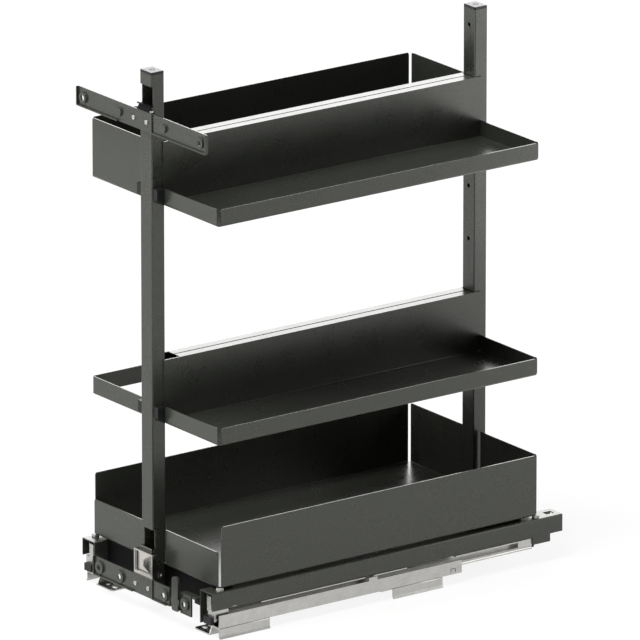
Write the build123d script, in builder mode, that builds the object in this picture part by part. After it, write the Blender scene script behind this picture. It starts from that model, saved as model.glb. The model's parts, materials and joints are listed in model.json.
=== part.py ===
"""Pull-out rack for a 300 mm wide base cabinet, on full-extension bottom runners.

Millimetres. X is the width, Y runs from the door side (front, -Y) to the cabinet's back,
Z is up. The origin is on the cabinet floor, at the middle of the rack's outline when closed.
"""
import os

from build123d import *

os.makedirs("parts", exist_ok=True)

# Trays, folded from one sheet each
tray_width = 250.0
tray_depth = 455.0
sheet = 1.5
bend_outer = 2.5
bend_land = 2.0
corner_slit = 3.5
corner_round = 3.0
wall_tall = 73.5
bin_wall = 71.0
front_wall = 43.0
rim_height = 20.5
middle_rise = 170.5
upper_rise = 430.0
wall_end_gap = 8.5
corner_relief = 1.5
flange_gap = 2.0
flange_setback = 9.0

# Posts, rectangular tube
post_width = 22.5
post_depth = 18.0
post_wall = 1.5
post_corner = 1.5
post_foot_rise = 30.0
post_proud = 11.4
rear_post_inset = 9.0
post_height = 614.0
notch_depth = 2.8
notch_height = 24.0
upper_notch_drop = 14.0
lower_notch_rise = 18.0
spare_hole_radius = 2.5
spare_hole_pitch = 64.0
spare_hole_rise = 306.5
top_hole_drop = 20.0
cap_height = 3.0
cap_plug = 14.0
cap_fit = 0.2
cap_edge = 0.8
cap_mark_outer = 3.2
cap_mark_inner = 2.1
cap_mark_depth = 0.5
post_gap = 0.3

# Bottom runners
runner_length = 500.0
runner_height = 42.5
runner_proud = 6.0
foot_height = 12.5
pad_height = 3.0
pad_size = 6.5
pad_reach = 1.0
tray_setback = 12.4
cover_sheet = 1.4
cover_proud = 3.7
cover_width = 24.7
cover_outer_wall = 21.0
cover_rear_wall = 29.5
cover_inner_wall = 40.0
cover_rear_step = 18.0
cover_deep_length = 25.0
cover_notch_radius = 9.5
cover_notch_drop = 7.5
cover_edge = 1.3
hook_hole_width = 8.0
hook_hole_length = 11.0
hook_hole_setback = 6.0
cover_notch_setback = 31.0
rail_sheet = 1.2
fixed_setback = 8.0
fixed_length = 345.0
fixed_wall = 15.5
fixed_step = 0.5
fixed_inner_clear = 0.5
tab_length = 7.0
tab_height = 5.0
tab_setback = 9.0
tab_rise = 2.3
tab_slit = 0.8
lug_setback = 212.0
lug_length = 12.0
lug_height = 4.0
middle_setback = 4.0
middle_length = 453.0
ball_radius = 1.75
ball_gap = 2.6
race_clearance = 0.2
middle_bar_height = 5.0
middle_bar_rise = 7.5
slot_height = 6.0
middle_lip = 1.5
middle_web = 4.0
blade_width = 8.0
blade_head_room = 3.0
lip_first_setback = 70.0
lip_first_length = 207.0
lip_rear_length = 110.0
end_block = 20.0
front_block_height = 8.5
cage_sheet = 1.0
cage_height = 5.0
cage_hole_clear = 0.1
cage_clear = 2.0
cage_room = 1.0
ball_pitch = 22.0
travel_length = 460.0
middle_share = 0.5
cage_share = 0.25
cage_margin = 5.0
moving_sheet = 1.5
moving_drop = 16.0
moving_setback = 6.5
moving_rear_setback = 19.0

# Feet of the runners
foot_sheet = 1.5
foot_length = 71.0
rear_foot_setback = 254.0
foot_strip = 21.0
tongue_reach = 50.0
tongue_width = 22.0
foot_hole_radius = 2.5
outer_hole_inset = 29.0
inner_hole_inset = 42.0
inner_slot_length = 9.0
foot_hole_setback = 9.5
foot_bend = 1.2
foot_lip = 1.5
foot_lip_height = 3.0
foot_web_slant = 5.0
rear_plate_reach = 16.0
tongue_corner = 4.0

# Cross members between the runners
cross_depth = 27.0
cross_sheet = 2.0
bolt_radius = 2.9
bolt_clear = 0.1
bolt_head_radius = 5.0
bolt_head_height = 3.0
bolt_length = 12.0
bolt_rises = (8.0, 20.0)

# Joints between the posts and the middle beams of the raised levels
link_height = 40.0
link_length = 21.0
link_rise = 38.0
link_screw_radius = 2.4
link_head_radius = 4.5
link_head_height = 2.5
link_screw_length = 9.0

# Hexagon sockets, as shares of the screw's own head
key_width = 0.5
key_depth = 0.6

# Door brackets: bars across the front, stepped at one side of the post
bracket_sheet = 1.5
bar_corner = 1.5
bar_lip_bend = 2.2
joggle_x = 19.8
joggle_depth = 1.4
door_hole_radius = 3.2
boss_rise = 2.4
boss_wall = 1.0
bracket_screw_spacing = 25.0
bracket_screw_radius = 1.9
bracket_head_radius = 2.6
bracket_head_height = 1.2
screw_clear = 0.1
cross_slot_width = 0.6
cross_slot_length = 3.4
cross_slot_depth = 0.7
thread_short = 0.5
upper_bar_length = 251.0
upper_bar_height = 23.0
upper_bar_rise = 530.0
upper_lip_start = 45.0
upper_hole_spacing = 226.0
upper_boss_radius = 6.5
blind_boss_radius = 5.0
blind_boss_spacing = 85.0
upper_screw_shift = -2.0
hook_plate_width = 36.0
hook_plate_depth = 4.5
hook_plate_height = 20.5
hook_tongue_left = 15.5
hook_tongue_depth = 1.2
height_screw_x = 14.5
height_screw_radius = 1.5
height_screw_head = 2.1
height_screw_rise = 2.0
height_screw_length = 12.0
lower_bar_length = 190.0
lower_bar_height = 22.5
lower_bar_drop = 25.8
lower_lip_start = 17.0
lower_lip_end_gap = 4.0
lower_outer_spacing = 166.0
lower_inner_spacing = 85.0
lower_boss_radius = 7.4
end_plate_width = 21.0
end_plate_rim = 1.3
rim_proud = 0.6
lever_recess_width = 22.0
arm_reach = 8.0
arm_flange_width = 12.0
arm_flange_height = 10.0

# Die-cast block on the front post
block_width = 36.0
block_depth = 6.3
block_plate = 2.8
block_height = 49.0
block_top_rise = 15.4
block_corner = 1.0
block_rim = 1.8
block_pocket_height = 24.0
block_pocket_depth = 2.0
block_groove = 1.6
block_rib = 1.2
ridge_width = 0.8
ridge_height = 8.0
ridge_drop = 0.2
block_ledge = 2.0

# Release lever in the lower bracket's recess
lever_width = 12.0
lever_x = 67.6
lever_height = 41.0
lever_top_rise = 3.5
lever_thickness = 3.3
lever_gap = 0.7
lever_top_round = 5.0
lever_foot_round = 2.5
lever_pivot_rise = 12.0
pivot_radius = 1.0
pivot_clear = 0.06
ear_sheet = 1.5
ear_clear = 0.35
ear_height = 6.0
ear_nose = 1.5

# Clips between the raised levels' rims and the posts
front_clip_reach = 10.0
clip_tip_rise = 7.0

# Side screws of the posts
side_screw_drop = 13.0
side_screw_radius = 2.0
side_screw_length = 6.0
side_head_radius = 3.5
side_head_height = 1.8

# End pieces of the middle rails
end_cap_length = 4.0
end_cap_width = 14.0
end_cap_drop = 3.5
end_cap_height = 9.0
buffer_length = 4.4
buffer_height = 3.0
buffer_rise = 1.0

# Rivets between the feet and the fixed rails
rivet_radius = 2.0
rivet_clear = 0.05
rivet_head_radius = 3.2
rivet_head_height = 0.7
rivet_inset = 12.0
rivet_setback = 12.0

# How near a vertex or an edge lies to the place where it is looked for
near_enough = 0.01

# Places worked out from the sizes above
front_reach = post_proud + block_depth + lever_gap + lever_thickness - tray_setback
rail_front = front_reach - (runner_length + front_reach) / 2
rail_rear = rail_front + runner_length
rail_top = foot_height + runner_height
tray_front = rail_front + tray_setback
tray_rear = tray_front + tray_depth
tray_z = rail_top + pad_height
middle_z = tray_z + middle_rise
upper_z = tray_z + upper_rise
half_tray = tray_width / 2
half_post = post_width / 2
runner_half_width = half_tray + runner_proud
post_front = tray_front - post_proud
post_bottom = tray_z - post_foot_rise
post_top = post_bottom + post_height
rear_post_front = tray_rear - rear_post_inset
upper_notch_top = post_top - upper_notch_drop
lower_notch_bottom = tray_z + lower_notch_rise
bend_inner = bend_outer - sheet
side_screw_z = tray_z - side_screw_drop
cover_outer = half_tray + cover_proud
cover_inner = cover_outer - cover_width
fixed_front = rail_front + fixed_setback
fixed_outer = runner_half_width - fixed_step
fixed_inner = cover_inner + cover_sheet + fixed_inner_clear
fixed_z = foot_height
middle_front = rail_front + middle_setback
race_radius = ball_radius + race_clearance
middle_bar_outer = fixed_outer - rail_sheet - ball_gap
middle_bar_inner = fixed_inner + rail_sheet + ball_gap
middle_bar_z = fixed_z + middle_bar_rise
middle_bar_top = middle_bar_z + middle_bar_height
lower_ball_z = middle_bar_z + middle_bar_height / 2
lip_top = middle_bar_top + slot_height + middle_lip
blade_x = (cover_outer + cover_inner) / 2
moving_ceiling = rail_top - cover_sheet - moving_sheet
moving_bottom = rail_top - cover_sheet - moving_drop
moving_half = blade_width / 2 + ball_gap + moving_sheet
blade_top = moving_ceiling - blade_head_room
upper_ball_z = (blade_top + moving_bottom) / 2
rear_foot_front = rail_front + rear_foot_setback
rivet_x = runner_half_width - rivet_inset
rivet_places = (rivet_setback, foot_length - rivet_setback)
rivet_depths = [foot + along for foot in (fixed_front, rear_foot_front) for along in rivet_places]


def rect(x0, x1, y0, y1, mode=Mode.ADD):
    """Rectangle between two corners, in the active sketch."""
    with Locations(((x0 + x1) / 2, (y0 + y1) / 2)):
        Rectangle(abs(x1 - x0), abs(y1 - y0), mode=mode)


def facing_front(y):
    """Upright plane across the rack at depth y: its x is X and its y is Z."""
    return Plane(origin=(0, y, 0), x_dir=(1, 0, 0), z_dir=(0, -1, 0))


def facing_right(x):
    """Upright plane along the rack at x: its x is Y and its y is Z."""
    return Plane(origin=(x, 0, 0), x_dir=(0, 1, 0), z_dir=(1, 0, 0))


def save(piece, name):
    """Name a finished piece and write it."""
    piece.part.label = name
    export_step(piece.part, f"parts/{name}.step")


def wall_profile(outer, inward, z0, height, reach):
    """Section of a folded wall with its strip of floor, in the active sketch."""
    rect(outer, outer + inward * sheet, z0, z0 + height)
    rect(outer, outer + inward * reach, z0, z0 + sheet)


def round_bend(sketch, outer, inward, z0):
    """Round the fold of a wall section, outside and inside."""
    for corner, radius in (((outer, z0), bend_outer),
                           ((outer + inward * sheet, z0 + sheet), bend_inner)):
        near = [v for v in sketch.vertices()
                if abs(v.X - corner[0]) < near_enough and abs(v.Y - corner[1]) < near_enough]
        fillet(near, radius=radius)


def wall_top_corners(part, z_top, axis):
    """Short top edges at the free ends of a wall, across its thickness."""
    edges = part.edges().filter_by(axis)
    return [e for e in edges
            if abs(e.center().Z - z_top) < near_enough and abs(e.length - sheet) < near_enough]


def folded_tray(x0, x1, z0, front, rear, left, right, beam_side=0):
    """Tray with upright walls and open corners. beam_side is the side of the middle beam."""
    reach = bend_outer + bend_land
    walls = (("front", front), ("rear", rear), ("left", left), ("right", right))
    # the front wall stops short of the post, and the rear wall runs up to the beam
    ends = {"front": [x0 + corner_slit, x1 - corner_slit], "rear": [x0 + corner_slit, x1 - corner_slit]}
    if beam_side:
        beam_end = 1 if beam_side == 1 else 0
        beam_x = x1 if beam_side == 1 else x0
        ends["front"][beam_end] = beam_x - beam_side * wall_end_gap
        ends["rear"][beam_end] = beam_x
    with BuildPart() as tray:
        with BuildSketch(Plane.XY.offset(z0)):
            rect(x0 + bend_outer, x1 - bend_outer, tray_front + bend_outer, tray_rear - bend_outer)
        extrude(amount=sheet)
        for side, height in walls:
            if side in ("front", "rear"):
                edge = tray_front if side == "front" else tray_rear
                inward = 1 if side == "front" else -1
                start, end = ends[side]
                with BuildSketch(facing_right(start)) as section:
                    wall_profile(edge, inward, z0, height, reach)
                    round_bend(section, edge, inward, z0)
                extrude(amount=end - start)
            else:
                edge = x0 if side == "left" else x1
                inward = 1 if side == "left" else -1
                start = tray_front + corner_slit
                is_beam = beam_side and edge == beam_x
                with BuildSketch(facing_front(start)) as section:
                    wall_profile(edge, inward, z0, height, reach)
                    round_bend(section, edge, inward, z0)
                extrude(amount=-(tray_rear - (0 if is_beam else corner_slit) - start))
        if beam_side:
            edge = x1 if beam_side == 1 else x0
            free = beam_side * flange_gap / -2
            with BuildSketch(facing_front(tray_front + post_depth + flange_setback)):
                rect(edge - beam_side * sheet, free, z0 + wall_tall - sheet, z0 + wall_tall)
            extrude(amount=-(rear_post_front - tray_front - post_depth - flange_setback - sheet))
            # relief where the rear fold meets the beam's fold
            with BuildSketch(Plane.XY.offset(z0)):
                with Locations((beam_x - beam_side * bend_outer, tray_rear - bend_outer)):
                    Circle(corner_relief)
            extrude(amount=bend_outer, mode=Mode.SUBTRACT)
        for side, height in walls:
            if beam_side and side == ("right" if beam_side == 1 else "left"):
                continue
            axis = Axis.Y if side in ("front", "rear") else Axis.X
            found = wall_top_corners(tray, z0 + height, axis)
            if side in ("front", "rear"):
                y = tray_front if side == "front" else tray_rear
                found = [e for e in found if abs(e.center().Y - y) < 2 * sheet
                         and not (beam_side and abs(e.center().X - beam_x) < 2 * sheet)]
            else:
                x = x0 if side == "left" else x1
                found = [e for e in found if abs(e.center().X - x) < 2 * sheet]
            fillet(found, radius=corner_round)
    return tray


# Raised levels: a tray each side of the posts, whose inner walls make the middle beam
upper_bin = folded_tray(-half_tray, -half_post, upper_z,
                        bin_wall, bin_wall, bin_wall, wall_tall, beam_side=1)
save(upper_bin, "upper_bin")
for shelf_name, shelf_z in (("upper_shelf", upper_z), ("middle_shelf", middle_z)):
    shelf = folded_tray(half_post, half_tray, shelf_z,
                        rim_height, rim_height, wall_tall, rim_height, beam_side=-1)
    save(shelf, shelf_name)

# Middle level, left: a rail frame with no floor, so tall bottles stand up through it
with BuildPart() as middle_guard:
    with BuildSketch(Plane.XY.offset(middle_z)) as ring:
        rect(-half_tray, -half_post, tray_front, tray_rear)
        fillet(ring.vertices().group_by(Axis.X)[0], radius=corner_slit)
        rect(-half_tray + sheet, -half_post - sheet, tray_front + sheet, tray_rear - sheet,
             mode=Mode.SUBTRACT)
        rect(-half_post - wall_end_gap, -half_post - sheet, tray_front, tray_front + sheet,
             mode=Mode.SUBTRACT)
    extrude(amount=rim_height)
    # upright of the middle beam, with its top folded over
    with BuildSketch(facing_front(tray_front)):
        rect(-half_post - sheet, -half_post, middle_z, middle_z + wall_tall)
    extrude(amount=-tray_depth)
    with BuildSketch(facing_front(tray_front + post_depth + flange_setback)):
        rect(-half_post - sheet, -flange_gap / 2, middle_z + wall_tall - sheet,
             middle_z + wall_tall)
    extrude(amount=-(rear_post_front - tray_front - post_depth - flange_setback - sheet))
    # return that ties the rim's free front end back to the upright
    with BuildSketch(Plane.XY.offset(middle_z)):
        rect(-half_post - wall_end_gap, -half_post - sheet, tray_front + corner_slit,
             tray_front + corner_slit + sheet)
        rect(-half_post - wall_end_gap, -half_post - wall_end_gap - sheet, tray_front,
             tray_front + corner_slit + sheet)
    extrude(amount=rim_height)
save(middle_guard, "middle_guard")

# Bottom tray: full width, cut out round both posts
with BuildPart() as bottom_tray:
    add(folded_tray(-half_tray, half_tray, tray_z,
                    front_wall, wall_tall, wall_tall, wall_tall).part)
    with BuildSketch(Plane.XY.offset(tray_z)):
        rect(-half_post - wall_end_gap, half_post + wall_end_gap, tray_front,
             tray_front + bend_outer)
        rect(-half_post - post_gap, half_post + post_gap, tray_front,
             post_front + post_depth + post_gap)
        rect(-half_post - post_gap, half_post + post_gap, rear_post_front - post_gap, tray_rear)
        rect(-half_post - corner_slit, half_post + corner_slit, tray_rear - bend_outer, tray_rear)
    extrude(amount=wall_tall, mode=Mode.SUBTRACT)
save(bottom_tray, "bottom_tray")


def post(y0, hole_face, inward, hole_heights):
    """Rectangular tube upright, with its holes in the face that looks inward."""
    inner = post_wall
    with BuildPart() as tube:
        with BuildSketch(Plane.XY.offset(post_bottom)) as outline:
            rect(-half_post, half_post, y0, y0 + post_depth)
            fillet(outline.vertices(), radius=post_corner)
            rect(-half_post + inner, half_post - inner, y0 + inner, y0 + post_depth - inner,
                 mode=Mode.SUBTRACT)
        extrude(amount=post_height)
        for z, radius in hole_heights:
            with BuildSketch(facing_front(hole_face)):
                with Locations((0, z)):
                    Circle(radius)
            extrude(amount=inward * post_wall, mode=Mode.SUBTRACT)
        with BuildSketch(facing_right(half_post)):
            with Locations((y0 + post_depth / 2, side_screw_z)):
                Circle(side_screw_radius + bolt_clear)
        extrude(amount=-post_wall, mode=Mode.SUBTRACT)
    return tube


link_heights = (middle_z + link_rise, upper_z + link_rise)
fixing_holes = [(z, link_screw_radius + bolt_clear) for z in link_heights]
fixing_holes += [(post_bottom + rise, bolt_radius + bolt_clear) for rise in bolt_rises]
spare_z = tray_z + spare_hole_rise
spare_holes = [(z, spare_hole_radius)
               for z in (spare_z, spare_z + spare_hole_pitch, post_top - top_hole_drop)]
with BuildPart() as front_post:
    add(post(post_front, post_front + post_depth, 1, fixing_holes + spare_holes).part)
    # notches sawn through the whole front face, for the door brackets' hooks
    for z in (upper_notch_top - notch_height, lower_notch_bottom):
        with BuildSketch(Plane.XY.offset(z)):
            rect(-half_post, half_post, post_front, post_front + notch_depth)
        extrude(amount=notch_height, mode=Mode.SUBTRACT)
save(front_post, "front_post")
save(post(rear_post_front, rear_post_front, -1, fixing_holes + spare_holes), "rear_post")

# Plastic caps that plug the post ends
for cap_name, y0 in (("front_post_cap", post_front), ("rear_post_cap", rear_post_front)):
    with BuildPart() as cap:
        with BuildSketch(Plane.XY.offset(post_top)) as head:
            rect(-half_post, half_post, y0, y0 + post_depth)
            fillet(head.vertices(), radius=post_corner)
        extrude(amount=cap_height)
        fillet(cap.faces().sort_by(Axis.Z)[-1].edges(), radius=cap_edge)
        with BuildSketch(Plane.XY.offset(post_top + cap_height)):
            with Locations((0, y0 + post_depth / 2)):
                Circle(cap_mark_outer)
                Circle(cap_mark_inner, mode=Mode.SUBTRACT)
        extrude(amount=-cap_mark_depth, mode=Mode.SUBTRACT)
        grip = post_wall + cap_fit
        with BuildSketch(Plane.XY.offset(post_top - cap_plug)):
            rect(-half_post + grip, half_post - grip, y0 + grip, y0 + post_depth - grip)
            rect(-half_post + 2 * grip, half_post - 2 * grip, y0 + 2 * grip,
                 y0 + post_depth - 2 * grip, mode=Mode.SUBTRACT)
        extrude(amount=cap_plug)
    save(cap, cap_name)

# U-shaped links that close each middle beam against the posts, and their screws
with BuildPart() as beam_links:
    for level in (middle_z, upper_z):
        low = level + link_rise - link_height / 2
        for face, inward in ((post_front + post_depth, 1), (rear_post_front, -1)):
            with BuildSketch(Plane.XY.offset(low)):
                rect(-half_post, half_post, face, face + inward * link_length)
                rect(-half_post + sheet, half_post - sheet, face + inward * sheet,
                     face + inward * link_length, mode=Mode.SUBTRACT)
            extrude(amount=link_height)
            with BuildSketch(facing_front(face)):
                with Locations((0, level + link_rise)):
                    Circle(link_screw_radius + bolt_clear)
            extrude(amount=-inward * sheet, mode=Mode.SUBTRACT)
save(beam_links, "beam_links")


def inward_screws(name, places, radius, head_radius, head_height, length, seat):
    """Pan-head screws driven into a post from the rack's inside."""
    with BuildPart() as screws:
        for face, inward, z in places:
            under_head = face + inward * seat
            with BuildSketch(facing_front(under_head)):
                with Locations((0, z)):
                    Circle(head_radius)
            extrude(amount=-inward * head_height)
            with BuildSketch(facing_front(under_head)):
                with Locations((0, z)):
                    Circle(radius)
            extrude(amount=inward * length)
            with BuildSketch(facing_front(under_head + inward * head_height)):
                with Locations((0, z)):
                    RegularPolygon(radius=head_radius * key_width, side_count=6)
            extrude(amount=inward * head_height * key_depth, mode=Mode.SUBTRACT)
    save(screws, name)


inner_faces = ((post_front + post_depth, 1), (rear_post_front, -1))
inward_screws("link_screws", [(f, s, z) for f, s in inner_faces for z in link_heights],
              link_screw_radius, link_head_radius, link_head_height, link_screw_length, sheet)
inward_screws("post_bolts", [(f, s, post_bottom + r) for f, s in inner_faces for r in bolt_rises],
              bolt_radius, bolt_head_radius, bolt_head_height, bolt_length, cross_sheet)

# Cross members: upside-down channels that join both runners and carry the posts
for cross_name, face, inward in (("front_cross_member", post_front + post_depth, 1),
                                 ("rear_cross_member", rear_post_front, -1)):
    with BuildPart() as cross:
        with BuildSketch(facing_right(-cover_inner)):
            rect(face, face + inward * cross_depth, post_bottom, tray_z)
            rect(face + inward * cross_sheet, face + inward * (cross_depth - cross_sheet),
                 post_bottom, tray_z - cross_sheet, mode=Mode.SUBTRACT)
        extrude(amount=2 * cover_inner)
        with BuildSketch(facing_front(face)):
            for rise in bolt_rises:
                with Locations((0, post_bottom + rise)):
                    Circle(bolt_radius + bolt_clear)
        extrude(amount=-inward * cross_sheet, mode=Mode.SUBTRACT)
    save(cross, cross_name)

# Pads under the tray's corners, on the runners
with BuildPart() as tray_pads:
    with BuildSketch(Plane.XY.offset(rail_top)):
        for sx in (-1, 1):
            for y0, y1 in ((tray_front - pad_reach, tray_front - pad_reach + pad_size),
                           (tray_rear + pad_reach - pad_size, tray_rear + pad_reach)):
                rect(sx * (half_tray + pad_reach), sx * (half_tray + pad_reach - pad_size), y0, y1)
    extrude(amount=pad_height)
save(tray_pads, "tray_pads")


def ball_places(count_from, count_to):
    """Even spacing of balls along a cage between two depths."""
    span = count_to - count_from
    gaps = int(span // ball_pitch)
    start = count_from + (span - gaps * ball_pitch) / 2
    return [start + i * ball_pitch for i in range(gaps + 1)]


# Where each cage may stand so that it never leaves the rails it runs between
middle_rear = middle_front + middle_length
lower_cage_from = fixed_front + cage_share * travel_length + cage_margin
lower_cage_to = middle_rear - middle_share * travel_length + cage_share * travel_length - cage_margin
upper_cage_from = middle_front + (1 - middle_share - cage_share) * travel_length + cage_margin
upper_cage_to = rail_rear - (1 - middle_share) * travel_length + cage_share * travel_length - cage_margin
end_ball = ball_radius + cage_sheet
lower_balls = ball_places(lower_cage_from + end_ball, lower_cage_to - end_ball)
upper_balls = ball_places(upper_cage_from + end_ball, upper_cage_to - end_ball)
lower_ball_x = (fixed_inner + rail_sheet + ball_gap / 2, fixed_outer - rail_sheet - ball_gap / 2)
upper_ball_x = (blade_x - blade_width / 2 - ball_gap / 2, blade_x + blade_width / 2 + ball_gap / 2)

for side, s in (("right", 1), ("left", -1)):
    # painted cover with its tall inner wall, its notch and its stepped rear end
    with BuildPart() as cover:
        with BuildSketch(facing_front(rail_front)):
            rect(s * cover_inner, s * cover_outer, rail_top - cover_sheet, rail_top)
            rect(s * (cover_outer - cover_sheet), s * cover_outer, rail_top - cover_outer_wall,
                 rail_top)
            rect(s * cover_inner, s * (cover_inner + cover_sheet), rail_top - cover_inner_wall,
                 rail_top)
        extrude(amount=-runner_length)
        deep_rear = rail_rear - cover_rear_step
        with BuildSketch(facing_front(deep_rear - cover_deep_length)):
            rect(s * (cover_outer - cover_sheet), s * cover_outer, rail_top - cover_rear_wall,
                 rail_top)
        extrude(amount=-cover_deep_length)
        with BuildSketch(facing_right(s * cover_outer)):
            with Locations((rail_front + cover_notch_setback,
                            rail_top - cover_outer_wall - cover_notch_drop)):
                Circle(cover_notch_radius)
        extrude(amount=-s * cover_sheet, mode=Mode.SUBTRACT)
        long_edges = cover.edges().filter_by(Axis.Y).filter_by_position(
            Axis.Z, rail_top - near_enough, rail_top + near_enough)
        fillet(long_edges, radius=cover_edge)
        # hole that drops over a pin at the back of the rail it hangs on
        hook_rear = rail_rear - hook_hole_setback
        with BuildSketch(Plane.XY.offset(rail_top - cover_sheet)):
            rect(s * (blade_x - hook_hole_width / 2), s * (blade_x + hook_hole_width / 2),
                 hook_rear - hook_hole_length, hook_rear)
        extrude(amount=cover_sheet, mode=Mode.SUBTRACT)
    save(cover, f"cover_rail_{side}")

    # rolled rail under the cover, an upside-down channel with a race in each wall
    with BuildPart() as moving:
        with BuildSketch(facing_front(rail_front + moving_setback)):
            rect(s * (blade_x - moving_half), s * (blade_x + moving_half), moving_bottom,
                 rail_top - cover_sheet)
            rect(s * (blade_x - moving_half + moving_sheet), s * (blade_x + moving_half - moving_sheet),
                 moving_bottom, moving_ceiling, mode=Mode.SUBTRACT)
            for x in upper_ball_x:
                with Locations((s * x, upper_ball_z)):
                    Circle(race_radius, mode=Mode.SUBTRACT)
        extrude(amount=-(runner_length - moving_setback - moving_rear_setback))
    save(moving, f"moving_rail_{side}")

    # middle rail: lower bar in the fixed rail, blade in the moving rail
    with BuildPart() as middle:
        with BuildSketch(facing_front(middle_front)):
            rect(s * middle_bar_inner, s * middle_bar_outer, middle_bar_z, middle_bar_top)
            rect(s * (blade_x - middle_web / 2), s * (blade_x + middle_web / 2),
                 middle_bar_z, lip_top)
            rect(s * (blade_x - blade_width / 2), s * (blade_x + blade_width / 2),
                 lip_top - middle_lip, blade_top)
            for x in lower_ball_x:
                with Locations((s * x, lower_ball_z)):
                    Circle(race_radius, mode=Mode.SUBTRACT)
            for x in upper_ball_x:
                with Locations((s * x, upper_ball_z)):
                    Circle(race_radius, mode=Mode.SUBTRACT)
        extrude(amount=-middle_length)
        for y0, y1 in ((rail_front + lip_first_setback,
                        rail_front + lip_first_setback + lip_first_length),
                       (middle_rear - lip_rear_length, middle_rear)):
            with BuildSketch(Plane.XY.offset(lip_top - middle_lip)):
                rect(s * middle_bar_inner, s * middle_bar_outer, y0, y1)
            extrude(amount=middle_lip)
        for y0, height in ((middle_front, front_block_height),
                           (middle_rear - end_block, slot_height)):
            with BuildSketch(Plane.XY.offset(middle_bar_top)):
                rect(s * blade_x, s * middle_bar_outer, y0, y0 + end_block)
            extrude(amount=height)
    save(middle, f"middle_rail_{side}")

    # galvanised rail that stays in the cabinet, with a stop lug on its outer wall
    with BuildPart() as fixed:
        with BuildSketch(facing_front(fixed_front)):
            rect(s * fixed_inner, s * fixed_outer, fixed_z, fixed_z + fixed_wall)
            rect(s * (fixed_inner + rail_sheet), s * (fixed_outer - rail_sheet),
                 fixed_z + rail_sheet, fixed_z + fixed_wall, mode=Mode.SUBTRACT)
            for x in lower_ball_x:
                with Locations((s * x, lower_ball_z)):
                    Circle(race_radius, mode=Mode.SUBTRACT)
        extrude(amount=-fixed_length)
        with BuildSketch(Plane.XY.offset(fixed_z + fixed_wall)):
            rect(s * (fixed_outer - rail_sheet), s * fixed_outer, fixed_front + lug_setback,
                 fixed_front + lug_setback + lug_length)
        extrude(amount=lug_height)
        with BuildSketch(Plane.XY.offset(fixed_z)):
            for y in rivet_depths:
                with Locations((s * rivet_x, y)):
                    Circle(rivet_radius + rivet_clear)
        extrude(amount=rail_sheet, mode=Mode.SUBTRACT)
        # tab lanced on three sides in the outer wall, near the rear end
        tab_rear = fixed_front + fixed_length - tab_setback
        tab_low = fixed_z + tab_rise
        with BuildSketch(facing_right(s * fixed_outer)):
            rect(tab_rear - tab_length, tab_rear, tab_low, tab_low + tab_height)
            rect(tab_rear - tab_length + tab_slit, tab_rear - tab_slit, tab_low,
                 tab_low + tab_height - tab_slit, mode=Mode.SUBTRACT)
        extrude(amount=-s * rail_sheet, mode=Mode.SUBTRACT)
    save(fixed, f"cabinet_rail_{side}")

    # ball cages and their balls
    for place, y0, y1, xs, z, balls in (
            ("lower", lower_cage_from, lower_cage_to, lower_ball_x, lower_ball_z, lower_balls),
            ("upper", upper_cage_from, upper_cage_to, upper_ball_x, upper_ball_z, upper_balls)):
        # the bridge joins both strips: under the lower bar, or over the blade
        if place == "lower":
            bridge = fixed_z + rail_sheet + cage_clear
            strip_low, strip_high = bridge, z + cage_height / 2
        else:
            bridge = blade_top + cage_room
            strip_low, strip_high = z - cage_height / 2, bridge + cage_sheet
        with BuildPart() as cage:
            with BuildSketch(facing_front(y0)):
                for x in xs:
                    rect(s * (x - cage_sheet / 2), s * (x + cage_sheet / 2), strip_low, strip_high)
                rect(s * xs[0], s * xs[1], bridge, bridge + cage_sheet)
            extrude(amount=-(y1 - y0))
            with Locations(*[(s * x, y, z) for x in xs for y in balls]):
                Cylinder(ball_radius + cage_hole_clear, cage_sheet, rotation=(0, 90, 0),
                         mode=Mode.SUBTRACT)
        save(cage, f"{place}_cage_{side}")
        with BuildPart() as ball_set:
            with Locations(*[(s * x, y, z) for x in xs for y in balls]):
                Sphere(ball_radius)
        save(ball_set, f"{place}_balls_{side}")

    # feet: a plate under the fixed rail, turned down outside into a flared skirt. A web at one
    # end goes down to a tongue on the floor: the front foot's at its front, the rear's at its rear
    for end, y0 in (("front", fixed_front), ("rear", rear_foot_front)):
        y1 = y0 + foot_length
        tip, along = (y0, 1) if end == "front" else (y1, -1)
        plate_front = y0 if end == "front" else y0 - rear_plate_reach
        web_x = runner_half_width - foot_strip
        with BuildPart() as foot:
            with BuildSketch(facing_front(plate_front)):
                rect(s * web_x, s * (runner_half_width - foot_sheet), foot_height - foot_sheet,
                     foot_height)
            extrude(amount=-(y1 - plate_front))
            with BuildSketch(facing_front(y0)) as section:
                rect(s * (runner_half_width - 2 * foot_sheet), s * runner_half_width,
                     foot_height - foot_sheet, foot_height)
                rect(s * (runner_half_width - foot_sheet), s * runner_half_width,
                     foot_lip_height, foot_height)
                top_corner = [v for v in section.vertices()
                              if abs(v.X - s * runner_half_width) < near_enough
                              and abs(v.Y - foot_height) < near_enough]
                fillet(top_corner, radius=foot_bend)
                with BuildLine():
                    Polyline((s * (runner_half_width - foot_sheet), foot_lip_height),
                             (s * runner_half_width, foot_lip_height),
                             (s * (runner_half_width + foot_lip), 0),
                             (s * (runner_half_width + foot_lip - foot_sheet), 0), close=True)
                make_face()
            extrude(amount=-foot_length)
            with BuildSketch(Plane.XY.offset(foot_height - foot_sheet)):
                for rivet_along in rivet_places:
                    with Locations((s * rivet_x, y0 + rivet_along)):
                        Circle(rivet_radius + rivet_clear)
            extrude(amount=foot_sheet, mode=Mode.SUBTRACT)
            with BuildSketch(facing_right(s * web_x)):
                with BuildLine():
                    Polyline((tip, 0), (tip + along * foot_web_slant, foot_height),
                             (tip + along * tongue_width, foot_height),
                             (tip + along * tongue_width, 0), close=True)
                make_face()
            extrude(amount=s * foot_sheet)
            with BuildSketch(Plane.XY) as tongue:
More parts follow.
